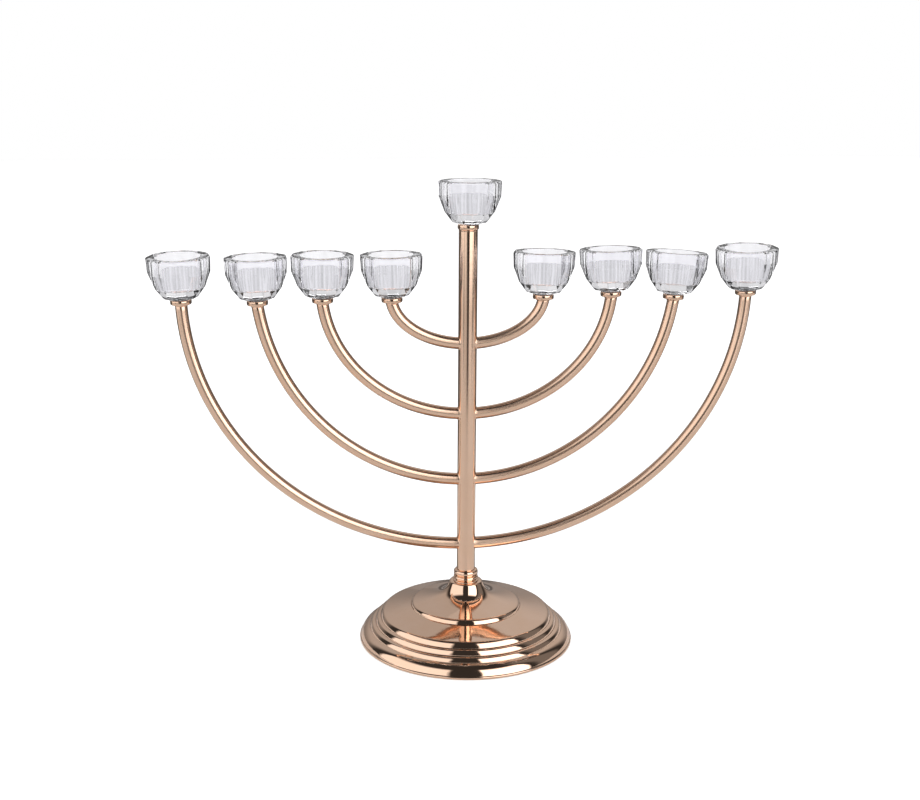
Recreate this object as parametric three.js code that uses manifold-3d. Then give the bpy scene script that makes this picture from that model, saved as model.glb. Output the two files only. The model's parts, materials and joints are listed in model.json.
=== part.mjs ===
// Nine-light menorah: a spun round foot, a straight stem, four pairs of curved
// arms brazed to it, and nine faceted crystal cups that each unscrew.
// Millimetres, +Z up. The origin is the centre of the felt's underside, +X runs
// along the arms to the right, and -Y is the front.

import * as THREE from 'three';
import { mergeVertices } from 'three/addons/utils/BufferGeometryUtils.js';
import Module from 'manifold-3d';

const wasm = await Module();
wasm.setup();

// ---------- driving dimensions ----------

const GAP = 0.3; // clearance kept between touching pieces

const SHELL_TOP = 57.6; // the flat top of the foot's neck, which carries the collar and stem

const STEM_RADIUS = 8.6;
const STEM_BORE = 6.5;
const STEM_BOTTOM = SHELL_TOP + 0.5;
const STEM_TOP = 391.3; // the top light's seat

const ARM_RADIUS = 5.6;
const SIDE_SEAT = 327.4; // usual height of the eight side lights' seats

// Each arm pair follows a quarter of an ellipse: half width, half height and
// the height of its lowest point, where it meets the stem.
const ARM_PAIRS = [
  { halfWidth: 69.9, halfHeight: 45, bottom: 288, steps: 9 },
  { halfWidth: 132.8, halfHeight: 119, bottom: 221.7, steps: 11 },
  { halfWidth: 192.4, halfHeight: 196.5, bottom: 158.2, steps: 14 },
  { halfWidth: 258.4, halfHeight: 243.5, bottom: 94.6, steps: 16 },
];

// How each light was fitted by hand: its seat's height above SIDE_SEAT in
// millimetres, then in degrees its lean to the right, its lean to the front and
// the cup's turn about its own axis. The first is nearest the stem.
const FITTED_LEFT = [
  { up: -1.4, right: -1.0, front: 0.5, turn: 15 },
  { up: -1.0, right: 0.4, front: 1.5, turn: 8 },
  { up: -2.4, right: -1.4, front: 1.0, turn: 19 },
  { up: -0.6, right: -1.6, front: 3.0, turn: 26 },
];
const FITTED_RIGHT = [
  { up: -0.4, right: 0.9, front: -1.0, turn: 2 },
  { up: 1.4, right: -1.7, front: -1.0, turn: 12 },
  { up: -2.0, right: 3.4, front: -2.0, turn: 6 },
  { up: 1.4, right: -1.8, front: 3.0, turn: 22 },
];
const FITTED_TOP = { right: 0, front: 0, turn: 0 };
const TOP_CUP_OFFSET = 1.3; // the top cup is glued this far right of its ferrule

const FERRULE_RADIUS = 9.65;
const FERRULE_DISC = 4.5;
const FERRULE_BOSS = 1.1;
const STUD_RADIUS = 2.0;
const STUD_HOLE = 2.45;
const STUD_DEPTH = 6.0; // how far the stud reaches below its seat

const CUP_FACETS = 12;
const CUP_HEIGHT = 38.6;
const CUP_CORNER_RADIUS = 28.9;
const CUP_FOOT_RADIUS = 9.6;
const WELL_RADIUS = 20;
const WELL_DEPTH = 28;

const FOOT_RADIUS = 101.6;
const SHEET = 1.2; // thickness of the spun foot
const FELT_THICKNESS = 1.5;
const ROD_RADIUS = 3.9;
const ROD_HOLE = 4.4;

// ---------- materials ----------

function plated(colour = 0xd9a184) {
  return new THREE.MeshStandardMaterial({ color: colour, roughness: 0.08, metalness: 1 });
}

function steel() {
  return new THREE.MeshStandardMaterial({ color: 0x9a9a98, roughness: 0.35, metalness: 1 });
}

function crystal() {
  return new THREE.MeshStandardMaterial({
    color: 0xe6e4f2,
    roughness: 0.02,
    metalness: 0,
    transparent: true,
    opacity: 0.4,
  });
}

function felt() {
  return new THREE.MeshStandardMaterial({ color: 0x1d1c1e, roughness: 0.95, metalness: 0 });
}

function board() {
  return new THREE.MeshStandardMaterial({ color: 0x6b5138, roughness: 0.85, metalness: 0 });
}

// ---------- solids ----------

function toManifold(geometry) {
  const bare = geometry.clone();
  bare.deleteAttribute('normal');
  bare.deleteAttribute('uv');
  const merged = mergeVertices(bare, 1e-4);
  return new wasm.Manifold(new wasm.Mesh({
    numProp: 3,
    vertProperties: new Float32Array(merged.attributes.position.array),
    triVerts: new Uint32Array(merged.index.array),
  }));
}

function toGeometry(solid) {
  const mesh = solid.getMesh();
  const geometry = new THREE.BufferGeometry();
  geometry.setAttribute('position', new THREE.BufferAttribute(mesh.vertProperties, 3));
  geometry.setIndex(new THREE.BufferAttribute(mesh.triVerts, 1));
  geometry.computeVertexNormals();
  return geometry;
}

// A solid of revolution about Z from a profile of [radius, height] points.
function lathe(profile, segments) {
  const points = profile.map(([radius, height]) => new THREE.Vector2(radius, height));
  const geometry = new THREE.LatheGeometry(points, segments);
  geometry.rotateX(Math.PI / 2);
  return geometry;
}

// A washer-like ring, given from its lowest to its highest face.
function ring(inner, outer, low, high, segments) {
  return lathe([[inner, low], [outer, low], [outer, high], [inner, high], [inner, low]], segments);
}

// A plain disc or rod with a small chamfer at both ends.
function rod(radius, low, high, chamfer, segments) {
  return lathe([
    [0, low],
    [radius - chamfer, low],
    [radius, low + chamfer],
    [radius, high - chamfer],
    [radius - chamfer, high],
    [0, high],
  ], segments);
}

// Points of an arc in a profile, angles in degrees from the +radius direction.
function arc(centreRadius, centreHeight, radius, from, to, steps) {
  const points = [];
  for (let i = 0; i <= steps; i += 1) {
    const angle = THREE.MathUtils.degToRad(from + (to - from) * i / steps);
    points.push([
      centreRadius + radius * Math.cos(angle),
      centreHeight + radius * Math.sin(angle),
    ]);
  }
  return points;
}

const menorah = new THREE.Group();

function addPiece(parent, name, geometry, material) {
  const mesh = new THREE.Mesh(geometry, material);
  mesh.name = name;
  parent.add(mesh);
  return mesh;
}

// ---------- the foot ----------

// The spun sheet from its centre hole out: flat top, small round ledge, hollow
// bell-shaped flare, a small band, a sloping deck, three steps with steep faces and narrow
// treads, skirt and rolled rim.
const footOuter = [
  [ROD_HOLE + 0.2, SHELL_TOP],
  [13.0, SHELL_TOP],
  [14.6, 57.4],
  [15.5, 56.7],
  [16.0, 55.6],
  [17.2, 52.5],
  [18.8, 49.3],
  [20.8, 46.5],
  [23.4, 44.0],
  [27.0, 41.8],
  [32.0, 39.9],
  [38.5, 38.4],
  [49.8, 36.9],
  [51.2, 36.2],
  [52.0, 34.6],
  [52.4, 32.9],
  [54.0, 32.5],
  [79.2, 27.2],
  [80.9, 24.6],
  [81.7, 22.1],
  [84.5, 21.7],
  [86.0, 19.4],
  [86.7, 17.1],
  [89.7, 16.7],
  [91.2, 14.6],
  [91.9, 12.6],
  [94.7, 11.7],
  [97.5, 9.7],
  [99.3, 7.2],
  [100.2, 4.7],
  [100.5, 3.6],
  [FOOT_RADIUS, 2.9],
  [FOOT_RADIUS, 0.6],
];
// Its underside follows the same line without the fine rounding of the steps.
const footInner = [
  [ROD_HOLE + 0.2, SHELL_TOP - 1.3],
  [13.2, 56.3],
  [14.5, 55.4],
  [15.9, 52.0],
  [17.6, 48.7],
  [19.8, 45.5],
  [22.6, 42.9],
  [26.5, 40.6],
  [31.7, 38.6],
  [38.3, 37.2],
  [49.0, 35.8],
  [50.6, 31.9],
  [53.0, 31.4],
  [77.9, 26.0],
  [80.4, 20.9],
  [85.4, 15.9],
  [90.7, 11.3],
  [94.3, 10.4],
  [96.8, 8.6],
  [98.2, 6.4],
  [98.9, 4.3],
  [99.4, 3.4],
  [FOOT_RADIUS - SHEET, 2.4],
  [FOOT_RADIUS - SHEET, 0.6],
];
addPiece(
  menorah,
  'base_shell',
  lathe([...footOuter, ...footInner.reverse(), footOuter[0]].reverse(), 40),
  plated(),
);

// The turned collar that hides the stem's lower end: a cove, a narrow band and
// a round bead.
const COLLAR_BORE = STEM_RADIUS + GAP;
const COLLAR_BOTTOM = SHELL_TOP + GAP;
const BEAD_HEIGHT = 65.8;
const BEAD_RADIUS = 3.1;
addPiece(
  menorah,
  'base_collar',
  lathe([
    [COLLAR_BORE, COLLAR_BOTTOM],
    [12.2, COLLAR_BOTTOM],
    [12.0, COLLAR_BOTTOM + 0.6],
    [10.7, 59.1],
    [10.4, 59.9],
    [11.4, 60.1],
    [11.7, 61.2],
    [11.2, 62.4],
    ...arc(8.3, BEAD_HEIGHT, BEAD_RADIUS, -50, 76, 5),
    [COLLAR_BORE, BEAD_HEIGHT + BEAD_RADIUS],
    [COLLAR_BORE, COLLAR_BOTTOM],
  ], 24),
  plated(),
);

const FELT_RADIUS = FOOT_RADIUS - SHEET - 1.8;
addPiece(menorah, 'felt_disc', rod(FELT_RADIUS, 0, FELT_THICKNESS, 0.3, 40), felt());
addPiece(
  menorah,
  'bottom_board',
  rod(FELT_RADIUS, FELT_THICKNESS + GAP, FELT_THICKNESS + GAP + 2, 0.3, 40),
  board(),
);

// Under the deck: the steel weight, and the rod, washer and nut that pull the
// foot up against the stem.
const WEIGHT_TOP = 26.6;
const WEIGHT_THICKNESS = 8;
const WASHER_TOP = WEIGHT_TOP - WEIGHT_THICKNESS - GAP;
const NUT_TOP = WASHER_TOP - 1.8 - GAP;
addPiece(
  menorah,
  'base_weight',
  ring(ROD_HOLE, 73, WEIGHT_TOP - WEIGHT_THICKNESS, WEIGHT_TOP, 36),
  steel(),
);
addPiece(menorah, 'base_washer', ring(ROD_HOLE, 12, WASHER_TOP - 1.8, WASHER_TOP, 20), steel());

const NUT_ACROSS_CORNERS = 15;
const nutBlock = lathe([
  [0, NUT_TOP - 6.5],
  [NUT_ACROSS_CORNERS / 2, NUT_TOP - 6.5],
  [NUT_ACROSS_CORNERS / 2, NUT_TOP],
  [0, NUT_TOP],
], 6);
const nutBore = rod(ROD_HOLE - 0.1, NUT_TOP - 8, NUT_TOP + 2, 0.1, 16);
addPiece(
  menorah,
  'base_nut',
  toGeometry(toManifold(nutBlock).subtract(toManifold(nutBore))),
  steel(),
);
addPiece(menorah, 'base_rod', rod(ROD_RADIUS, 7, 82, 0.7, 16), steel());

// ---------- the stem ----------

addPiece(menorah, 'stem_tube', ring(STEM_BORE, STEM_RADIUS, STEM_BOTTOM, STEM_TOP, 32), plated());
const PLUG_RADIUS = STEM_BORE - GAP;
addPiece(
  menorah,
  'stem_foot_plug',
  ring(ROD_HOLE - 0.1, PLUG_RADIUS, STEM_BOTTOM, STEM_BOTTOM + 22, 20),
  steel(),
);
addPiece(
  menorah,
  'stem_top_plug',
  lathe([
    [0, STEM_TOP - 20],
    [PLUG_RADIUS, STEM_TOP - 20],
    [PLUG_RADIUS, STEM_TOP],
    [STUD_HOLE, STEM_TOP],
    [STUD_HOLE, STEM_TOP - STUD_DEPTH - 3],
    [0, STEM_TOP - STUD_DEPTH - 3],
  ], 20),
  steel(),
);

// ---------- the lights ----------

// A faceted crystal bowl standing on its short round foot. Three rows of flat
// facets are cut one above the other, each steeper than the one below, and the
// well is bored from above. Its own Z runs up from the foot's underside.
const cupBlock = lathe([
  [0, 1.4],
  [CUP_FOOT_RADIUS - 0.2, 1.4],
  [15.3, 1.5],
  [16.2, 2.4],
  [22.8, 11.0],
  [28.2, 24.4],
  [CUP_CORNER_RADIUS, CUP_HEIGHT - 1.2],
  [CUP_CORNER_RADIUS - 1.0, CUP_HEIGHT],
  [0, CUP_HEIGHT],
], CUP_FACETS);
const cupFoot = lathe([
  [0, 0],
  [CUP_FOOT_RADIUS - 0.5, 0],
  [CUP_FOOT_RADIUS, 0.5],
  [CUP_FOOT_RADIUS, 2.4],
  [0, 2.4],
], 12);
const WELL_FLOOR = CUP_HEIGHT - WELL_DEPTH;
const well = lathe([
  [0, WELL_FLOOR],
  [WELL_RADIUS - 1, WELL_FLOOR],
  [WELL_RADIUS, WELL_FLOOR + 1],
  [WELL_RADIUS, CUP_HEIGHT - 0.8],
  [WELL_RADIUS + 0.8, CUP_HEIGHT],
  [WELL_RADIUS + 0.8, CUP_HEIGHT + 2],
  [0, CUP_HEIGHT + 2],
], 20);
const cupSolid = toManifold(cupBlock).add(toManifold(cupFoot)).subtract(toManifold(well));

// The ferrule's underside is at height 0 above its seat, after the gap.
const ferruleBottom = FERRULE_BOSS;
const ferruleTop = FERRULE_BOSS + FERRULE_DISC;
const EDGE = 1.5; // rounding of the disc's edges
function ferrule(bossRadius) {
  return lathe([
    [STUD_HOLE, 0],
    [bossRadius, 0],
    [bossRadius, ferruleBottom],
    [FERRULE_RADIUS - EDGE, ferruleBottom],
    [FERRULE_RADIUS - 0.35, ferruleBottom + 0.8],
    [FERRULE_RADIUS, ferruleBottom + FERRULE_DISC / 2],
    [FERRULE_RADIUS - 0.35, ferruleTop - 0.8],
    [FERRULE_RADIUS - EDGE, ferruleTop],
    [STUD_HOLE, ferruleTop],
    [STUD_HOLE, 0],
  ], 14);
}

// One light on its seat: the seat's centre and its hand-fitted lean.
function seatFrame(x, z, fitted) {
  const frame = new THREE.Group();
  frame.position.set(x, 0, z);
  frame.rotation.set(
    THREE.MathUtils.degToRad(fitted.front),
    THREE.MathUtils.degToRad(fitted.right),
    0,
  );
  return frame;
}

function addLight(name, x, z, fitted, bossRadius, cupOffset = 0) {
  const frame = seatFrame(x, z, fitted);
  menorah.add(frame);
  const ferruleMesh = addPiece(frame, `ferrule_${name}`, ferrule(bossRadius), plated());
  ferruleMesh.position.z = GAP;
  addPiece(
    frame,
    `stud_${name}`,
    rod(STUD_RADIUS, -STUD_DEPTH, GAP + ferruleTop - 0.5, 0.4, 10),
    steel(),
  );
  const cup = addPiece(frame, `cup_${name}`, toGeometry(cupSolid), crystal());
  cup.position.set(cupOffset, 0, GAP + ferruleTop + GAP);
  cup.rotation.z = THREE.MathUtils.degToRad(fitted.turn);
}

// ---------- the arms ----------

class ArmCurve extends THREE.Curve {
  constructor(pair, side) {
    super();
    this.pair = pair;
    this.side = side;
  }

  getPoint(t, target = new THREE.Vector3()) {
    const angle = t * Math.PI / 2;
    return target.set(
      this.side * this.pair.halfWidth * Math.sin(angle),
      0,
      this.pair.bottom + this.pair.halfHeight * (1 - Math.cos(angle)),
    );
  }
}

// Where an arm's centre line crosses its seat.
function seatX(pair, seat) {
  const rise = (seat - pair.bottom) / pair.halfHeight;
  return pair.halfWidth * Math.sqrt(1 - (1 - rise) ** 2);
}

const section = new THREE.Shape();
section.absarc(0, 0, ARM_RADIUS, 0, Math.PI * 2);
const stemClearance = toManifold(rod(STEM_RADIUS + GAP, 0, STEM_TOP, 0.1, 32));

function armGeometry(pair, side, fitted, x, seat) {
  const bent = new THREE.ExtrudeGeometry(section, {
    steps: pair.steps,
    curveSegments: 6,
    bevelEnabled: false,
    extrudePath: new ArmCurve(pair, side),
  });
  const frame = seatFrame(x, seat, fitted);
  frame.updateMatrix();
  const above = new THREE.BoxGeometry(40, 40, 40);
  above.translate(0, 0, 20);
  above.applyMatrix4(frame.matrix);
  const hole = rod(STUD_HOLE, -STUD_DEPTH - 0.8, 5, 0.3, 10);
  hole.applyMatrix4(frame.matrix);
  return toGeometry(toManifold(bent)
    .subtract(stemClearance)
    .subtract(toManifold(above))
    .subtract(toManifold(hole)));
}

ARM_PAIRS.forEach((pair, i) => {
  const sides = [['left', -1, FITTED_LEFT[i]], ['right', 1, FITTED_RIGHT[i]]];
  sides.forEach(([word, side, fitted]) => {
    const name = `${word}_${i + 1}`;
    const seat = SIDE_SEAT + fitted.up;
    const x = side * seatX(pair, seat);
    addPiece(menorah, `arm_${name}`, armGeometry(pair, side, fitted, x, seat), plated());
    addLight(name, x, seat, fitted, ARM_RADIUS + 0.4);
  });
});

addLight('top', 0, STEM_TOP, FITTED_TOP, STEM_RADIUS, TOP_CUP_OFFSET);

export default menorah;
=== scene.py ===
"""A nine-light menorah in rose-gold plate with faceted crystal cups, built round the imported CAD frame."""
import json
import math

import bmesh
import bpy
from mathutils import Matrix, Vector


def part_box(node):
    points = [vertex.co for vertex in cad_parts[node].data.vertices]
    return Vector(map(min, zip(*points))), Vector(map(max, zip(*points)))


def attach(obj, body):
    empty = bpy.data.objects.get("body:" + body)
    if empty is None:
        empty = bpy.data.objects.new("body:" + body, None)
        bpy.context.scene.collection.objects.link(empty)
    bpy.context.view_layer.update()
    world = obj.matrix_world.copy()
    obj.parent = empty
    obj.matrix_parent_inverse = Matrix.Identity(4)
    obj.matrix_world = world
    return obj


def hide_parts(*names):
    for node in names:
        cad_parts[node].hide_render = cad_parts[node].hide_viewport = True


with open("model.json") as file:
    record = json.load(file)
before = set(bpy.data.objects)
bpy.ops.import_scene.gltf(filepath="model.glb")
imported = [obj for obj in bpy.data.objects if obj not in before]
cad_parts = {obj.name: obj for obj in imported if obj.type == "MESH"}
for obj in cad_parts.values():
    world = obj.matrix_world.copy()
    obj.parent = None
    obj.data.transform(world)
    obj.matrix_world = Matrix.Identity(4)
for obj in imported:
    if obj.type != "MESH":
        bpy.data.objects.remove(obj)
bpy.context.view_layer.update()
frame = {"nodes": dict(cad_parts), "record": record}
record = frame["record"]
scene = bpy.context.scene
MM = 0.001

# ---------- driving sizes in millimetres, the same as the CAD's ----------

STEM_RADIUS = 8.6
STEM_BORE = 6.5
STEM_BOTTOM = 58.1
STEM_TOP = 391.3
ARM_RADIUS = 5.6
# Each pair's half width, height of its bend and lowest point.
ARM_PAIRS = [
    (69.9, 45.0, 288.0),
    (132.8, 119.0, 221.7),
    (192.4, 196.5, 158.2),
    (258.4, 243.5, 94.6),
]
FERRULE_RADIUS = 9.65
STUD_RADIUS = 2.0
STUD_HOLE = 2.45
STUD_DEPTH = 6.0
CUP_SIDES = 12
CUP_EDGE_SHARE = 0.0045
CUP_HEIGHT = 38.6
CUP_CORNER = 28.9
CUP_FOOT = 9.6
WELL_RADIUS = 20.0
WELL_FLOOR = 10.6
FLOOR_ABOVE_SEAT = 16.8
TOP_CUP_OFFSET = 1.3
# How far each cup is turned on its ferrule, in degrees.
TURNS = {
    "left_1": 15, "left_2": 8, "left_3": 19, "left_4": 26,
    "right_1": 2, "right_2": 12, "right_3": 6, "right_4": 22,
    "top": 0,
}
TIE_ROD_RADIUS = 3.9
NUT_CORNER = 7.5
NUT_BORE = 4.2
NUT_CHAMFER = 0.5

# ---------- how finely the meshes are divided ----------

FOOT_SEGMENTS = 256
TUBE_SEGMENTS = 96
FERRULE_SEGMENTS = 72
NUT_SEGMENTS = 72
ROD_SIDES = 48
ROD_STATIONS = 90
ROD_UV_ROWS = 100
BRAZING_FILLET = 0.9
BRAZING_ROWS = 5
BRAZING_GAP = 0.02
THREAD_ROWS = 8
THREAD_FLAT = 0.12
# A rounding longer than any edge, for corners that are rounded as far as their edges allow.
SMOOTH = 99.0

# ---------- camera ----------

IMAGE_WIDTH = 920.0
SENSOR_WIDTH = 36.0
FOCAL_PIXELS = 1400.0
DISTANCE = 1.259
HEIGHT = 0.5493
AZIMUTH = math.radians(-6.4)
PAN = math.radians(1.563)
PITCH = math.radians(14.05)
ROLL = math.radians(0.05)
SHIFT = 30.0 / IMAGE_WIDTH


def make_camera():
    """A camera in front and a little to the left, turned back towards the stem and looking down."""
    turn = AZIMUTH + PAN
    flat = Vector((-math.sin(turn), math.cos(turn), 0))
    right = Vector((math.cos(turn), math.sin(turn), 0))
    up = Vector((0, 0, 1))
    forward = flat * math.cos(PITCH) - up * math.sin(PITCH)
    above = flat * math.sin(PITCH) + up * math.cos(PITCH)
    right_rolled = right * math.cos(ROLL) + above * math.sin(ROLL)
    above_rolled = -right * math.sin(ROLL) + above * math.cos(ROLL)
    data = bpy.data.cameras.new("camera")
    data.sensor_width = SENSOR_WIDTH
    data.lens = SENSOR_WIDTH * FOCAL_PIXELS / IMAGE_WIDTH
    data.shift_x = SHIFT
    data.clip_start = 0.05
    obj = bpy.data.objects.new("camera", data)
    scene.collection.objects.link(obj)
    basis = Matrix((right_rolled, above_rolled, -forward)).transposed().to_4x4()
    place = Vector((DISTANCE * math.sin(AZIMUTH), -DISTANCE * math.cos(AZIMUTH), HEIGHT))
    obj.matrix_world = Matrix.Translation(place) @ basis
    scene.camera = obj


# ---------- node helpers ----------


class Nodes:
    """A short way to write a node tree."""

    def __init__(self, tree):
        self.tree = tree

    def add(self, kind, **values):
        node = self.tree.nodes.new(kind)
        for name, value in values.items():
            setattr(node, name, value)
        return node

    def put(self, node, name, value):
        socket = node.inputs[name]
        if isinstance(value, bpy.types.NodeSocket):
            self.tree.links.new(value, socket)
        else:
            socket.default_value = value
        return node

    def math(self, operation, a, b=0.0, clamp=False):
        node = self.add("ShaderNodeMath", operation=operation, use_clamp=clamp)
        self.put(node, 0, a)
        self.put(node, 1, b)
        return node.outputs[0]

    def length(self, a, b):
        """The length of the flat vector (a, b)."""
        squares = self.math("ADD", self.math("POWER", a, 2.0), self.math("POWER", b, 2.0))
        return self.math("SQRT", squares)

    def ramp(self, value, low, high, to_low, to_high):
        node = self.add("ShaderNodeMapRange", interpolation_type="SMOOTHSTEP")
        self.put(node, "Value", value)
        self.put(node, "From Min", low)
        self.put(node, "From Max", high)
        self.put(node, "To Min", to_low)
        self.put(node, "To Max", to_high)
        return node.outputs[0]

    def noise(self, vector, scale, detail=3.0, roughness=0.5, stretch=None):
        if stretch:
            mapping = self.add("ShaderNodeMapping")
            self.put(mapping, "Vector", vector)
            self.put(mapping, "Scale", stretch)
            vector = mapping.outputs[0]
        node = self.add("ShaderNodeTexNoise")
        self.put(node, "Vector", vector)
        self.put(node, "Scale", scale)
        self.put(node, "Detail", detail)
        self.put(node, "Roughness", roughness)
        return node.outputs["Fac"]

    def mix(self, factor, a, b):
        node = self.add("ShaderNodeMix", data_type="RGBA")
        self.put(node, 0, factor)
        self.put(node, 6, a)
        self.put(node, 7, b)
        return node.outputs[2]

    def bump(self, height, strength, distance, normal=None):
        node = self.add("ShaderNodeBump")
        self.put(node, "Strength", strength)
        self.put(node, "Distance", distance)
        self.put(node, "Height", height)
        if normal is not None:
            self.put(node, "Normal", normal)
        return node.outputs[0]


def material(name):
    """A new material with its node writer, its shader and the place on the piece."""
    made = bpy.data.materials.new(name)
    made.use_nodes = True
    nodes = Nodes(made.node_tree)
    shader = made.node_tree.nodes["Principled BSDF"]
    place = nodes.add("ShaderNodeTexCoord").outputs["Object"]
    return made, nodes, shader, place


def rose_gold(name, spun=False, drawn=None):
    """Plated metal. A spun piece has fine rings. A drawn rod or tube is polished round and round, and
    the fine scratches stretch its reflections along its length."""
    made, n, shader, place = material(name)
    cloud = n.noise(place, 38.0, 3.0, 0.55)
    tint = n.mix(n.ramp(cloud, 0.3, 0.7, 0.0, 1.0), (0.95, 0.665, 0.5, 1), (0.93, 0.635, 0.462, 1))
    n.put(shader, "Base Color", tint)
    n.put(shader, "Metallic", 1.0)
    haze = n.noise(place, 21.0, 4.0, 0.6)
    wipe = n.noise(place, 160.0, 2.0, 0.6, (1.0, 1.0, 0.18))
    rough = n.math("MULTIPLY_ADD", n.math("MULTIPLY", haze, wipe), 0.14)
    rough.node.inputs[2].default_value = 0.022
    if drawn:
        rough = n.math("MULTIPLY_ADD", haze, 0.06)
        rough.node.inputs[2].default_value = 0.07 if drawn == "stem" else 0.14
        tangent = n.add("ShaderNodeTangent", direction_type="RADIAL" if drawn == "stem" else "UV_MAP")
        n.put(shader, "Tangent", tangent.outputs[0])
        n.put(shader, "Anisotropic", 1.0)
        n.put(shader, "Anisotropic Rotation", 0.25 if drawn == "stem" else 0.0)
    n.put(shader, "Roughness", rough)
    peel = n.bump(n.noise(place, 230.0, 2.0, 0.5), 0.06, 0.0004)
    if spun:
        separate = n.add("ShaderNodeSeparateXYZ")
        n.put(separate, 0, place)
        combine = n.add("ShaderNodeCombineXYZ")
        n.put(combine, 0, n.length(separate.outputs[0], separate.outputs[1]))
        n.put(combine, 2, separate.outputs[2])
        rings = n.noise(combine.outputs[0], 1400.0, 2.0, 0.7)
        peel = n.bump(rings, 0.05, 0.0001, peel)
    n.put(shader, "Normal", peel)
    return made


def crystal(name, ground_and_painted_shade=False):
    """Lead crystal: polished, or a little duller where a well's floor is cut, and there tinted greyer as
    painted shade for the darker bottom of the well.
    """
    made, n, shader, place = material(name)
    # The cut well floor's greyer base colour is painted shade.
    n.put(shader, "Base Color", (0.8, 0.8, 0.83, 1) if ground_and_painted_shade else (0.965, 0.962, 0.99, 1))
    n.put(shader, "Transmission Weight", 1.0)
    n.put(shader, "IOR", 1.517)
    smear = n.noise(place, 90.0, 3.0, 0.6)
    if ground_and_painted_shade:
        n.put(shader, "Roughness", n.ramp(smear, 0.3, 0.7, 0.06, 0.14))
    else:
        n.put(shader, "Roughness", n.ramp(smear, 0.45, 0.8, 0.0, 0.03))
    n.put(shader, "Normal", n.bump(n.noise(place, 120.0, 1.0, 0.4), 0.03, 0.0003))
    return made


def glue_and_painted_shade(name):
    """The grey bonding film that holds a cup's foot on its ferrule, seen through the crystal. Its dark grey
    is partly painted shade, standing for the shade under the cup at the bottom of the well.
    """
    made, n, shader, place = material(name)
    patch = n.noise(place, 260.0, 4.0, 0.6)
    pale = n.ramp(patch, 0.35, 0.65, 0.0, 1.0)
    # Dark grey base colour: partly painted shade under the cup.
    n.put(shader, "Base Color", n.mix(pale, (0.045, 0.045, 0.05, 1), (0.12, 0.12, 0.125, 1)))
    n.put(shader, "Roughness", n.ramp(patch, 0.3, 0.7, 0.35, 0.6))
    n.put(shader, "Normal", n.bump(patch, 0.3, 0.0002))
    return made


def zinc(name):
    """Zinc plate on steel, with a fine spangle."""
    made, n, shader, place = material(name)
    spangle = n.add("ShaderNodeTexVoronoi")
    n.put(spangle, "Vector", place)
    n.put(spangle, "Scale", 420.0)
    colour = n.mix(spangle.outputs["Distance"], (0.66, 0.67, 0.68, 1), (0.5, 0.51, 0.53, 1))
    n.put(shader, "Base Color", colour)
    n.put(shader, "Metallic", 1.0)
    n.put(shader, "Roughness", n.ramp(n.noise(place, 300.0), 0.3, 0.7, 0.24, 0.42))
    n.put(shader, "Normal", n.bump(n.noise(place, 900.0, 3.0), 0.12, 0.0002))
    return made


def cast_iron(name):
    """Rough dark iron with patches of rust."""
    made, n, shader, place = material(name)
    rust = n.noise(place, 55.0, 5.0, 0.65)
    rusty = n.ramp(rust, 0.55, 0.75, 0.0, 1.0)
    n.put(shader, "Base Color", n.mix(rusty, (0.035, 0.033, 0.032, 1), (0.11, 0.055, 0.03, 1)))
    n.put(shader, "Metallic", 0.35)
    n.put(shader, "Roughness", n.ramp(rust, 0.3, 0.7, 0.55, 0.85))
    n.put(shader, "Normal", n.bump(n.noise(place, 700.0, 4.0, 0.6), 0.5, 0.0005))
    return made


def fibre_board(name):
    """Brown pressed board with short fibres."""
    made, n, shader, place = material(name)
    fibre = n.noise(place, 500.0, 4.0, 0.7, (1.0, 0.35, 1.0))
    patch = n.noise(place, 70.0, 3.0)
    colour = n.mix(fibre, (0.17, 0.1, 0.055, 1), (0.33, 0.22, 0.13, 1))
    n.put(shader, "Base Color", n.mix(n.ramp(patch, 0.3, 0.7, 0.0, 0.4), colour, (0.24, 0.15, 0.085, 1)))
    n.put(shader, "Roughness", n.ramp(patch, 0.3, 0.7, 0.7, 0.88))
    n.put(shader, "Normal", n.bump(fibre, 0.35, 0.0003))
    return made


def felt(name):
    """Black felt with a soft pile."""
    made, n, shader, place = material(name)
    hairs = n.noise(place, 1500.0, 5.0, 0.75, (1.0, 0.5, 1.0))
    lumps = n.noise(place, 180.0, 3.0)
    colour = n.mix(hairs, (0.006, 0.006, 0.007, 1), (0.035, 0.034, 0.038, 1))
    n.put(shader, "Base Color", n.mix(n.ramp(lumps, 0.35, 0.7, 0.0, 0.35), colour, (0.02, 0.02, 0.023, 1)))
    n.put(shader, "Roughness", n.ramp(hairs, 0.2, 0.8, 0.88, 1.0))
    n.put(shader, "Sheen Weight", 0.35)
    n.put(shader, "Sheen Roughness", 0.5)
    n.put(shader, "Normal", n.bump(hairs, 0.7, 0.0006, n.bump(lumps, 0.3, 0.0008)))
    return made


# ---------- mesh helpers ----------


def finish_mesh(name, mesh_data, materials, place=None, sharp=35.0):
    """The mesh as an object, shaded smooth apart from edges sharper than the given angle in degrees."""
    bmesh.ops.remove_doubles(mesh_data, verts=mesh_data.verts, dist=1e-7)
    bmesh.ops.recalc_face_normals(mesh_data, faces=mesh_data.faces)
    limit = math.radians(sharp)
    for face in mesh_data.faces:
        face.smooth = True
    for edge in mesh_data.edges:
        if len(edge.link_faces) == 2 and edge.calc_face_angle() > limit:
            edge.smooth = False
    mesh = bpy.data.meshes.new(name)
    mesh_data.to_mesh(mesh)
    mesh_data.free()
    obj = bpy.data.objects.new(name, mesh)
    if place is not None:
        obj.matrix_world = place
    for item in materials:
        mesh.materials.append(item)
    scene.collection.objects.link(obj)
    return obj


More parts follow.
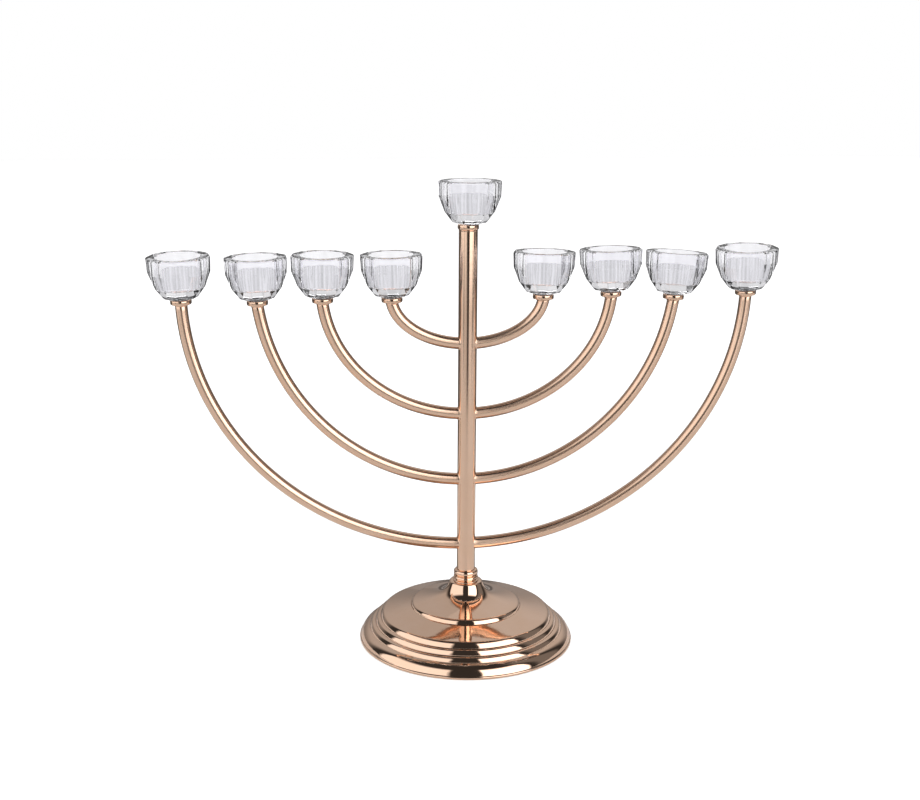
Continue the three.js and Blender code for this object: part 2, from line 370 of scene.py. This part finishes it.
def rounded(points, steps=5):
    """A profile of (radius, height, rounding) as a smooth line, each corner rounded by up to that much."""
    line = []
    count = len(points)
    for i, (r, z, soft) in enumerate(points):
        here = Vector((r, z))
        if soft <= 0:
            line.append(here)
            continue
        before = Vector(points[i - 1][:2]) - here
        after = Vector(points[(i + 1) % count][:2]) - here
        start = here + before.normalized() * min(soft, before.length / 2)
        end = here + after.normalized() * min(soft, after.length / 2)
        for k in range(steps + 1):
            t = k / steps
            point = start * (1 - t) ** 2 + here * (2 * t * (1 - t)) + end * t * t
            if not line or (point - line[-1]).length > 1e-4:
                line.append(point)
    return line


def revolve(mesh_data, line, segments):
    """The line turned once round the Z axis."""
    rings = []
    for point in line:
        if point.x < 1e-6:
            rings.append([mesh_data.verts.new((0, 0, point.y * MM))])
            continue
        rings.append([
            mesh_data.verts.new((
                point.x * MM * math.cos(2 * math.pi * k / segments),
                point.x * MM * math.sin(2 * math.pi * k / segments),
                point.y * MM,
            ))
            for k in range(segments)
        ])
    for low, high in zip(rings, rings[1:] + rings[:1]):
        bridge(mesh_data, low, high)


def bridge(mesh_data, low, high):
    """Faces between two rings, either of which may be a single point."""
    count = max(len(low), len(high))
    if count == 1:
        return
    for k in range(count):
        j = (k + 1) % count
        corners = [low[k % len(low)], low[j % len(low)], high[j % len(high)], high[k % len(high)]]
        unique = list(dict.fromkeys(corners))
        if len(unique) > 2:
            mesh_data.faces.new(unique)


def lathe(name, points, segments, materials, place=None):
    """A turned or spun piece from its closed profile."""
    mesh_data = bmesh.new()
    revolve(mesh_data, rounded(points), segments)
    return finish_mesh(name, mesh_data, materials, place)


def threaded_rod(name, radius, low, high, pitch, depth, segments, materials, place=None):
    """A rod whose surface follows one helical thread, with a tapered lead at each end."""
    mesh_data = bmesh.new()
    rings = []
    rows = int((high - low) / pitch * THREAD_ROWS)
    for row in range(rows + 1):
        z = low + (high - low) * row / rows
        ends = min(z - low, high - z)
        lead = min(1.0, ends / pitch)
        ring = []
        for k in range(segments):
            turn = k / segments
            phase = (z / pitch - turn) % 1.0
            tooth = abs(phase * 2 - 1)
            tooth = min(1.0, max(0.0, (tooth - THREAD_FLAT) / (1 - 2 * THREAD_FLAT)))
            r = radius - depth * (1 - tooth * lead)
            ring.append(mesh_data.verts.new((
                r * MM * math.cos(2 * math.pi * turn),
                r * MM * math.sin(2 * math.pi * turn),
                z * MM,
            )))
        rings.append(ring)
    for a, b in zip(rings, rings[1:]):
        bridge(mesh_data, a, b)
    mesh_data.faces.new(list(reversed(rings[0])))
    mesh_data.faces.new(rings[-1])
    return finish_mesh(name, mesh_data, materials, place)


# ---------- the foot, the collar and the stem ----------

gold = rose_gold("rose_gold_polished")
gold_spun = rose_gold("rose_gold_spun", spun=True)
gold_tube = rose_gold("rose_gold_drawn_tube", drawn="stem")
gold_rod = rose_gold("rose_gold_drawn_rod", drawn="rod")
steel = zinc("zinc_steel")
iron = cast_iron("cast_iron")

# The spun sheet's outside, from the rod's hole out to the rolled rim, and its inside.
FOOT_OUTER = [
    (4.6, 57.6, 0),
    (13.0, 57.6, 0.6),
    (14.6, 57.4, SMOOTH),
    (15.5, 56.7, SMOOTH),
    (16.0, 55.6, SMOOTH),
    (17.2, 52.5, SMOOTH),
    (18.6, 49.7, SMOOTH),
    (20.4, 47.3, SMOOTH),
    (22.8, 45.1, SMOOTH),
    (26.2, 43.1, SMOOTH),
    (31.2, 41.2, SMOOTH),
    (38.0, 39.3, SMOOTH),
    (44.5, 37.9, SMOOTH),
    (49.8, 36.9, 0.7),
    (51.2, 36.2, SMOOTH),
    (52.0, 34.6, SMOOTH),
    (52.4, 32.9, 0.15),
    (54.0, 32.5, SMOOTH),
    (60.0, 31.2, SMOOTH),
    (67.0, 29.7, SMOOTH),
    (76.0, 27.9, SMOOTH),
    (79.2, 27.2, 1.5),
    (80.9, 24.6, SMOOTH),
    (81.6, 22.7, SMOOTH),
    (81.7, 22.1, 0.15),
    (84.5, 21.7, 0.9),
    (86.0, 19.4, SMOOTH),
    (86.6, 17.8, SMOOTH),
    (86.7, 17.1, 0.15),
    (89.7, 16.7, 0.9),
    (91.2, 14.6, SMOOTH),
    (91.8, 13.2, SMOOTH),
    (91.9, 12.6, 0.15),
    (94.7, 11.7, SMOOTH),
    (97.5, 9.7, SMOOTH),
    (99.3, 7.2, SMOOTH),
    (100.2, 4.7, SMOOTH),
    (100.5, 3.6, 0.3),
    (100.9, 3.3, 0.2),
    (101.5, 2.9, SMOOTH),
    (101.6, 1.8, SMOOTH),
    (101.4, 0.6, 0.4),
]
FOOT_INNER = [
    (4.6, 56.3, 0),
    (13.2, 56.3, SMOOTH),
    (14.5, 55.4, SMOOTH),
    (15.9, 52.0, SMOOTH),
    (17.4, 49.1, SMOOTH),
    (19.4, 46.4, SMOOTH),
    (22.0, 44.1, SMOOTH),
    (25.6, 42.0, SMOOTH),
    (30.8, 40.0, SMOOTH),
    (37.7, 38.1, SMOOTH),
    (44.2, 36.7, SMOOTH),
    (49.0, 35.8, 0.6),
    (50.6, 31.9, 0.6),
    (53.0, 31.4, 0.6),
    (77.9, 26.0, 0.6),
    (80.4, 20.9, 0.6),
    (85.4, 15.9, 0.6),
    (90.7, 11.3, 0.6),
    (94.3, 10.4, 0.6),
    (96.8, 8.6, 0.6),
    (98.2, 6.4, 0.6),
    (98.9, 4.3, 0.6),
    (99.4, 3.4, 0.3),
    (100.4, 2.4, 0.3),
    (100.4, 0.6, 0.3),
]
foot = lathe("foot_spun_shell", FOOT_OUTER + FOOT_INNER[::-1], FOOT_SEGMENTS, [gold_spun])
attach(foot, "frame")
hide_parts("base_shell")

collar = lathe("collar_turned", [
    (8.65, 57.7, 0.1),
    (12.2, 57.7, 0.15),
    (12.1, 58.4, 0.25),
    (10.7, 59.1, SMOOTH),
    (10.3, 59.9, 0.3),
    (11.4, 60.1, 0.3),
    (11.75, 61.2, SMOOTH),
    (11.2, 62.4, 0.3),
    (10.2, 62.8, 0.2),
    (11.1, 63.5, SMOOTH),
    (11.5, 64.9, SMOOTH),
    (11.5, 66.7, SMOOTH),
    (10.9, 68.2, SMOOTH),
    (9.4, 68.9, SMOOTH),
    (8.65, 68.9, 0.1),
], TUBE_SEGMENTS, [gold_spun])
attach(collar, "frame")
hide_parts("base_collar")

stem = lathe("stem_tube_polished", [
    (STEM_BORE, STEM_BOTTOM, 0.2),
    (STEM_RADIUS, STEM_BOTTOM, 0.2),
    (STEM_RADIUS, STEM_TOP, 0.3),
    (STEM_BORE, STEM_TOP, 0.3),
], TUBE_SEGMENTS, [gold_tube])
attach(stem, "frame")
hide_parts("stem_tube")


# ---------- the arms ----------


def arm_point(pair, side, t, around, radius):
    """A point on the arm's surface: t runs along a quarter of the ellipse, and around goes round the
    rod from its top."""
    a, b, bottom = pair
    centre = Vector((side * a * math.sin(t), 0, bottom + b * (1 - math.cos(t))))
    tangent = Vector((side * a * math.cos(t), 0, b * math.sin(t))).normalized()
    across = Vector((0, 1, 0))
    above = across.cross(tangent) * -side
    return centre + (above * math.cos(around) + across * math.sin(around)) * radius


def solve(test, low, high):
    """The value between low and high where test changes from false to true."""
    for _ in range(40):
        middle = (low + high) / 2
        if test(middle):
            high = middle
        else:
            low = middle
    return (low + high) / 2


def make_arm(name, pair, side, seat, axis):
    """A round rod from its brazed joint at the stem to its seat, where it has the stud's hole."""
    mesh_data = bmesh.new()
    around = [2 * math.pi * k / ROD_SIDES for k in range(ROD_SIDES)]
    contact = STEM_RADIUS + BRAZING_GAP

    def stem_ring(radius, reach):
        ring = []
        for angle in around:
            y = radius * math.sin(angle)
            target = math.sqrt(contact ** 2 - y * y) + reach
            t = solve(lambda v: side * arm_point(pair, side, v, angle, radius).x > target, 0.0, 0.6)
            ring.append((t, arm_point(pair, side, t, angle, radius)))
        return ring

    def seat_ring(drop, radius):
        ring = []
        for angle in around:
            def past(t):
                return (arm_point(pair, side, t, angle, radius) - seat).dot(axis) > -drop
            t = solve(past, 0.9, 1.56)
            ring.append((t, arm_point(pair, side, t, angle, radius)))
        return ring

    rings = []
    for k in range(BRAZING_ROWS + 1):
        bend = math.radians(90 - 90 * k / BRAZING_ROWS)
        flare = BRAZING_FILLET * (1 - math.cos(bend))
        reach = BRAZING_FILLET * (1 - math.sin(bend))
        rings.append([p for _, p in stem_ring(ARM_RADIUS + flare, reach)])
    first = stem_ring(ARM_RADIUS, BRAZING_FILLET)
    last = seat_ring(0.35, ARM_RADIUS)
    for k in range(1, ROD_STATIONS):
        share = k / ROD_STATIONS
        ring = []
        for (t0, _), (t1, _), angle in zip(first, last, around):
            ring.append(arm_point(pair, side, t0 + (t1 - t0) * share, angle, ARM_RADIUS))
        rings.append(ring)
    rings.append([p for _, p in last])
    rings.append([p for _, p in seat_ring(0.05, ARM_RADIUS - 0.12)])
    rings.append([p for _, p in seat_ring(0.0, ARM_RADIUS - 0.4)])
    level = rings[-1]

    def inward(radius, drop):
        ring = []
        for point in level:
            spoke = point - seat
            spoke = (spoke - axis * spoke.dot(axis)).normalized()
            ring.append(seat + spoke * radius - axis * drop)
        return ring

    rings.append(inward(STUD_HOLE + 0.35, 0.0))
    rings.append(inward(STUD_HOLE, 0.35))
    rings.append(inward(STUD_HOLE, STUD_DEPTH + 0.6))
    vertex_rings = [[mesh_data.verts.new(p * MM) for p in ring] for ring in rings]
    along = mesh_data.loops.layers.uv.new("along")
    for a, b in zip(vertex_rings, vertex_rings[1:]):
        bridge(mesh_data, a, b)
    where = {v: (i, k) for i, ring in enumerate(vertex_rings) for k, v in enumerate(ring)}
    for face in mesh_data.faces:
        ends = {where[v][1] for v in face.verts}
        for loop in face.loops:
            i, k = where[loop.vert]
            if k == 0 and ROD_SIDES - 1 in ends:
                k = ROD_SIDES
            loop[along].uv = (i / ROD_UV_ROWS, k / ROD_SIDES)
    mesh_data.faces.new(vertex_rings[-1])
    mesh_data.faces.new(list(reversed(vertex_rings[0])))
    arm = finish_mesh(f"arm_rod_{name}", mesh_data, [gold_rod])
    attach(arm, "frame")
    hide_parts(f"arm_{name}")


# ---------- the lights ----------


def ring_angles(sides, share, per_side):
    """Angles round a polygon whose corners are cut off by a small flat, and the radius at each, where
    the uncut corners are at radius 1."""
    half = math.pi / sides
    apothem = math.cos(half)
    cut = 1 - share
    edge = solve(lambda v: apothem / math.cos(v) > cut / math.cos(half - v), 0.0, half)
    out = []
    for side in range(sides):
        for k in range(per_side + 1):
            off = -edge + 2 * edge * k / per_side
            angle = (2 * side + 1) * half + off
            out.append((angle, apothem / math.cos(off)))
    return out


CUP_ROUND = ring_angles(CUP_SIDES, CUP_EDGE_SHARE, 3)


def make_cup(name, place):
    """The crystal bowl, standing on its foot at height 0, with rows of flat facets outside and a round
    well inside."""
    mesh_data = bmesh.new()
    rings = []
    rounds = set()

    def facets(corner, z):
        rings.append([
            mesh_data.verts.new((corner * r * MM * math.cos(a), corner * r * MM * math.sin(a), z * MM))
            for a, r in CUP_ROUND
        ])

    def circle(radius, z):
        rings.append([
            mesh_data.verts.new((radius * MM * math.cos(a), radius * MM * math.sin(a), z * MM))
            for a, _ in CUP_ROUND
        ])
        rounds.update(rings[-1])

    circle(CUP_FOOT - 0.45, 0.0)
    circle(CUP_FOOT - 0.1, 0.12)
    circle(CUP_FOOT, 0.45)
    circle(CUP_FOOT, 1.2)
    circle(CUP_FOOT + 0.3, 1.45)
    facets(15.0, 1.5)
    facets(15.4, 1.62)
    facets(16.0, 2.2)
    facets(16.2, 2.42)
    facets(22.68, 10.86)
    facets(22.84, 11.14)
    facets(28.13, 24.25)
    facets(28.22, 24.55)
    facets(CUP_CORNER, CUP_HEIGHT - 1.25)
    facets(CUP_CORNER - 0.12, CUP_HEIGHT - 0.95)
    facets(CUP_CORNER - 0.85, CUP_HEIGHT - 0.1)
    facets(CUP_CORNER - 1.1, CUP_HEIGHT)
    circle(WELL_RADIUS + 0.75, CUP_HEIGHT)
    circle(WELL_RADIUS + 0.5, CUP_HEIGHT - 0.1)
    circle(WELL_RADIUS + 0.05, CUP_HEIGHT - 0.6)
    circle(WELL_RADIUS, CUP_HEIGHT - 0.9)
    circle(WELL_RADIUS, WELL_FLOOR + 1.3)
    circle(WELL_RADIUS - 0.15, WELL_FLOOR + 0.6)
    circle(WELL_RADIUS - 0.6, WELL_FLOOR + 0.15)
    circle(WELL_RADIUS - 1.3, WELL_FLOOR)
    for low, high in zip(rings, rings[1:]):
        bridge(mesh_data, low, high)
    # The foot's underside takes the grey bonding film, its dark grey partly painted shade under the cup.
    under = mesh_data.faces.new(list(reversed(rings[0])))
    under.material_index = 1
    # The well's floor takes the cut crystal, tinted greyer as painted shade.
    well_floor = mesh_data.faces.new(rings[-1])
    well_floor.material_index = 2
    bmesh.ops.recalc_face_normals(mesh_data, faces=mesh_data.faces)
    for face in mesh_data.faces:
        face.smooth = all(v in rounds for v in face.verts) and len(face.verts) == 4
    mesh = bpy.data.meshes.new(name)
    mesh_data.to_mesh(mesh)
    mesh_data.free()
    for finish in (glass, glue_and_shade_finish, ground_and_painted_shade):
        mesh.materials.append(finish)
    cup = bpy.data.objects.new(name, mesh)
    cup.matrix_world = place
    scene.collection.objects.link(cup)
    return cup


def ferrule_profile(boss):
    """The small turned disc under a cup, with the pad that the cup is glued to."""
    r = FERRULE_RADIUS
    return [
        (STUD_RADIUS + 0.1, 0.06, 0.1),
        (boss, 0.06, 0.15),
        (boss, 1.15, 0.2),
        (r - 1.6, 1.2, 0.5),
        (r - 0.35, 1.5, SMOOTH),
        (r, 2.7, SMOOTH),
        (r, 4.5, SMOOTH),
        (r - 0.35, 5.8, SMOOTH),
        (r - 1.3, 6.15, 0.3),
        (r - 1.3, 6.24, 0.02),
        (STUD_RADIUS + 0.1, 6.24, 0.02),
    ]


glass = crystal("crystal_clear")
glue_and_shade_finish = glue_and_painted_shade("grey_glue_painted_shade")
ground_and_painted_shade = crystal("crystal_ground_painted_shade", ground_and_painted_shade=True)
wells = {m["name"][5:]: m for m in record["mounts"] if m["name"].startswith("well_")}


def cup_offset(name):
    """The top cup is glued a little to the right of its ferrule's centre."""
    return TOP_CUP_OFFSET if name == "top" else 0.0


def seat_matrix(name):
    """The light's own frame, with its origin at the seat's centre, from the record's well floor."""
    mount = wells[name]
    axis = Vector(mount["axis"]).normalized()
    right = math.asin(max(-1.0, min(1.0, axis.x)))
    front = math.atan2(-axis.y, axis.z)
    turned = Matrix.Rotation(front, 4, "X") @ Matrix.Rotation(right, 4, "Y")
    local = turned @ Vector((cup_offset(name), 0, FLOOR_ABOVE_SEAT))
    origin = Vector(mount["pos_m"]) - local * MM
    return Matrix.Translation(origin) @ turned, axis, origin


def make_light(name, boss):
    """A light's ferrule, stud and cup. It returns the seat's axis and centre."""
    place, axis, origin = seat_matrix(name)
    body = f"light_{name}"
    ferrule = lathe(f"ferrule_turned_{name}", ferrule_profile(boss), FERRULE_SEGMENTS, [gold], place)
    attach(ferrule, body)
    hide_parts(f"ferrule_{name}")
    stud = threaded_rod(
        f"stud_thread_{name}", STUD_RADIUS, -STUD_DEPTH, 5.2, 0.7, 0.36, 24, [steel], place=place)
    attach(stud, body)
    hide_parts(f"stud_{name}")
    stand = Matrix.Translation(Vector((cup_offset(name), 0, FLOOR_ABOVE_SEAT - WELL_FLOOR)) * MM)
    turn = Matrix.Rotation(math.radians(TURNS[name] - 90), 4, "Z")
    cup = make_cup(f"cup_crystal_{name}", place @ stand @ turn)
    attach(cup, body)
    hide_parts(f"cup_{name}")
    return axis, origin


for index, pair in enumerate(ARM_PAIRS):
    for word, side in (("left", -1), ("right", 1)):
        label = f"{word}_{index + 1}"
        axis, origin = make_light(label, ARM_RADIUS + 0.4)
        make_arm(label, pair, side, origin / MM, axis)
make_light("top", STEM_RADIUS)

# ---------- inside the foot ----------

for node, finish in (
    ("felt_disc", felt("felt_black")),
    ("bottom_board", fibre_board("fibre_board")),
    ("base_weight", iron),
    ("base_washer", steel),
    ("stem_foot_plug", steel),
    ("stem_top_plug", steel),
):
    node_mesh = frame["nodes"][node].data
    node_mesh.materials.clear()
    node_mesh.materials.append(finish)

rod_low, rod_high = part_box("base_rod")
tie = threaded_rod(
    "tie_rod_thread", TIE_ROD_RADIUS, rod_low.z / MM, rod_high.z / MM, 1.25, 0.6, 28, [steel])
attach(tie, "frame")
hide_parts("base_rod")


def make_nut():
    """A hexagon nut with its corners turned down at both faces."""
    low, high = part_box("base_nut")
    bottom = low.z / MM
    top = high.z / MM
    mesh_data = bmesh.new()
    flat = NUT_CORNER * math.cos(math.pi / 6)

    def circle_of(z, reach):
        ring = []
        for k in range(NUT_SEGMENTS):
            angle = 2 * math.pi * k / NUT_SEGMENTS
            r = reach(angle)
            place = (r * MM * math.sin(angle), -r * MM * math.cos(angle), z * MM)
            ring.append(mesh_data.verts.new(place))
        return ring

    def outer(z, limit):
        def reach(angle):
            off = (angle + math.pi / 6) % (math.pi / 3) - math.pi / 6
            turn = off - math.pi / 6 if off > 0 else off + math.pi / 6
            return min(flat / math.cos(turn), limit)
        return circle_of(z, reach)

    def bore(z, radius):
        return circle_of(z, lambda angle: radius)

    rings = [
        outer(bottom, flat - 0.1),
        outer(bottom + NUT_CHAMFER, NUT_CORNER),
        outer(top - NUT_CHAMFER, NUT_CORNER),
        outer(top, flat - 0.1),
        bore(top, NUT_BORE + 0.6),
        bore(top - NUT_CHAMFER, NUT_BORE),
        bore(bottom + NUT_CHAMFER, NUT_BORE),
        bore(bottom, NUT_BORE + 0.6),
    ]
    for a, b in zip(rings, rings[1:] + rings[:1]):
        bridge(mesh_data, a, b)
    nut = finish_mesh("tie_nut_hex", mesh_data, [steel], sharp=25.0)
    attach(nut, "frame")
    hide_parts("base_nut")


make_nut()

# ---------- floor, surroundings and lights ----------


FLOOR_HALF_WIDTH = 3.0
FLOOR_FRONT = -0.95
FLOOR_BACK = 6.0
FLOOR_DROP = 0.0002
SHADE_BEHIND = 0.17


def make_floor():
    """The pale floor. The camera sees it white, and metal and crystal show it dimmer."""
    mesh_data = bmesh.new()
    corners = [
        (-FLOOR_HALF_WIDTH, FLOOR_FRONT),
        (FLOOR_HALF_WIDTH, FLOOR_FRONT),
        (FLOOR_HALF_WIDTH, FLOOR_BACK),
        (-FLOOR_HALF_WIDTH, FLOOR_BACK),
    ]
    mesh_data.faces.new([mesh_data.verts.new((x, y, -FLOOR_DROP)) for x, y in corners])
    mesh = bpy.data.meshes.new("floor")
    mesh_data.to_mesh(mesh)
    mesh_data.free()
    floor = bpy.data.objects.new("floor", mesh)
    scene.collection.objects.link(floor)
    made, n, shader, place = material("floor_pale")
    paths = n.add("ShaderNodeLightPath")
    crossing = paths.outputs["Is Transmission Ray"]
    mirrored = n.math("SUBTRACT", paths.outputs["Is Glossy Ray"], crossing, clamp=True)
    split = n.add("ShaderNodeSeparateXYZ")
    n.put(split, 0, place)
    depth = split.outputs[1]
    # The floor is in shade close behind the foot and far behind the stem, for what the metal shows of it.
    apart = n.length(split.outputs[0], n.math("SUBTRACT", depth, SHADE_BEHIND))
    near = n.ramp(apart, 0.1, 0.2, 1.0, 0.0)
    shade = n.math("MAXIMUM", n.ramp(depth, 0.24, 0.5, 0.0, 1.0), near)
    back = n.math("MULTIPLY", mirrored, shade)
    n.put(shader, "Base Color", n.mix(back, (0.9, 0.9, 0.9, 1), (0.16, 0.16, 0.16, 1)))
    n.put(shader, "Roughness", 0.75)
    n.put(shader, "Specular IOR Level", 0.2)
    n.put(shader, "Emission Color", (1, 1, 1, 1))
    seen = n.math("MULTIPLY", paths.outputs["Is Camera Ray"], 0.75)
    glow = n.math("MULTIPLY", crossing, 0.48)
    front = n.math("MULTIPLY", n.math("SUBTRACT", mirrored, back), 0.14)
    n.put(shader, "Emission Strength", n.math("ADD", seen, n.math("ADD", glow, front)))
    mesh.materials.append(made)


# Bright and dim patches of the surroundings: azimuth from and to, its softness, elevation from and to,
# and brightness. Azimuth is 0 in front of the menorah and positive to the right, in degrees.
MIRRORED_PATCHES = [
    (-107.0, -24.0, 3.0, -3.0, 46.0, 1.1),
    (12.0, 65.0, 2.0, -3.0, 48.0, 2.2),
    (76.0, 110.0, 6.0, -4.0, 66.0, 0.15),
    (-97.0, -62.0, 3.0, -14.0, -4.0, 0.9),
    (-50.0, -14.0, 3.0, -14.0, -4.0, 0.5),
    (8.0, 46.0, 3.0, -14.0, -4.0, 0.65),
]
REFRACTED_PATCHES = [
    (-64.0, -24.0, 3.0, -20.0, 46.0, 1.2),
    (12.0, 52.0, 2.0, -20.0, 48.0, 1.6),
]


def make_world():
    """A white studio: the camera sees plain white, the metal mirrors a dim wall behind it and softboxes
    at the sides, and the crystal lets a brighter wall through."""
    world = bpy.data.worlds.new("studio")
    scene.world = world
    world.use_nodes = True
    tree = world.node_tree
    tree.nodes.clear()
    n = Nodes(tree)
    direction = n.add("ShaderNodeTexCoord").outputs["Generated"]
    split = n.add("ShaderNodeSeparateXYZ")
    n.put(split, 0, direction)
    x, y, z = split.outputs
    azimuth = n.math("MULTIPLY", n.math("ARCTAN2", x, n.math("MULTIPLY", y, -1.0)), 180 / math.pi)
    height = n.math("MULTIPLY", n.math("ARCSINE", z), 180 / math.pi)

    def patch(low, high, soft, bottom, top, level):
        left = n.ramp(azimuth, low - soft, low + soft, 0.0, 1.0)
        right = n.ramp(azimuth, high - soft, high + soft, 1.0, 0.0)
        lower = n.ramp(height, bottom - 4, bottom + 4, 0.0, 1.0)
        upper = n.ramp(height, top - 8, top + 8, 1.0, 0.0)
        sides = n.math("MULTIPLY", left, right)
        ends = n.math("MULTIPLY", lower, upper)
        return n.math("MULTIPLY", n.math("MULTIPLY", sides, ends), level)

    away = n.math("ABSOLUTE", azimuth)
    behind = n.ramp(away, 118.0, 140.0, 0.0, 1.0)
    side = n.ramp(azimuth, 110.0, 165.0, 1.0, 1.2)
    wall = n.math("MULTIPLY", n.ramp(height, 6.0, 28.0, 0.22, 0.42), n.ramp(height, 52.0, 68.0, 1.0, 0.1))
    total = n.math("ADD", n.math("MULTIPLY", n.math("MULTIPLY", behind, side), wall), 0.035)
    for values in MIRRORED_PATCHES:
        total = n.math("ADD", total, patch(*values))
    total = n.math("ADD", total, n.ramp(height, -18.0, -11.0, 0.45, 0.0))
    paths = n.add("ShaderNodeLightPath")
    stripes = n.math("MULTIPLY", n.math("SINE", n.math("MULTIPLY", azimuth, 0.42)), 0.1)
    bright = n.ramp(away, 108.0, 124.0, 0.0, 0.76)
    clear = n.math("ADD", bright, n.math("MULTIPLY", behind, stripes))
    through = n.math("ADD", n.math("MULTIPLY", clear, n.ramp(height, 40.0, 70.0, 1.0, 0.15)), 0.02)
    for values in REFRACTED_PATCHES:
        through = n.math("ADD", through, patch(*values))
    inside = n.math("MULTIPLY", n.math("SUBTRACT", through, total), paths.outputs["Is Transmission Ray"])
    total = n.math("ADD", total, inside)
    ambient = n.add("ShaderNodeBackground")
    n.put(ambient, "Color", (1, 1, 1, 1))
    n.put(ambient, "Strength", total)
    seen = n.add("ShaderNodeBackground")
    n.put(seen, "Color", (1, 1, 1, 1))
    n.put(seen, "Strength", 1.0)
    blend = n.add("ShaderNodeMixShader")
    n.put(blend, 0, paths.outputs["Is Camera Ray"])
    n.put(blend, 1, ambient.outputs[0])
    n.put(blend, 2, seen.outputs[0])
    out = n.add("ShaderNodeOutputWorld")
    n.put(out, 0, blend.outputs[0])


def make_light_panel(name, place, aim, wide, tall, power):
    """A soft area light that shows in no reflection."""
    data = bpy.data.lights.new(name, "AREA")
    data.shape = "RECTANGLE"
    data.size = wide
    data.size_y = tall
    data.energy = power
    obj = bpy.data.objects.new(name, data)
    scene.collection.objects.link(obj)
    obj.location = place
    obj.rotation_euler = (Vector(aim) - Vector(place)).to_track_quat("-Z", "Y").to_euler()
    obj.visible_glossy = False


make_camera()
make_floor()
make_world()
make_light_panel("panel_back", (0.0, 1.9, 1.9), (0, 0, 0.1), 1.2, 0.8, 10)
scene.view_settings.view_transform = "Standard"

bpy.context.view_layer.update()
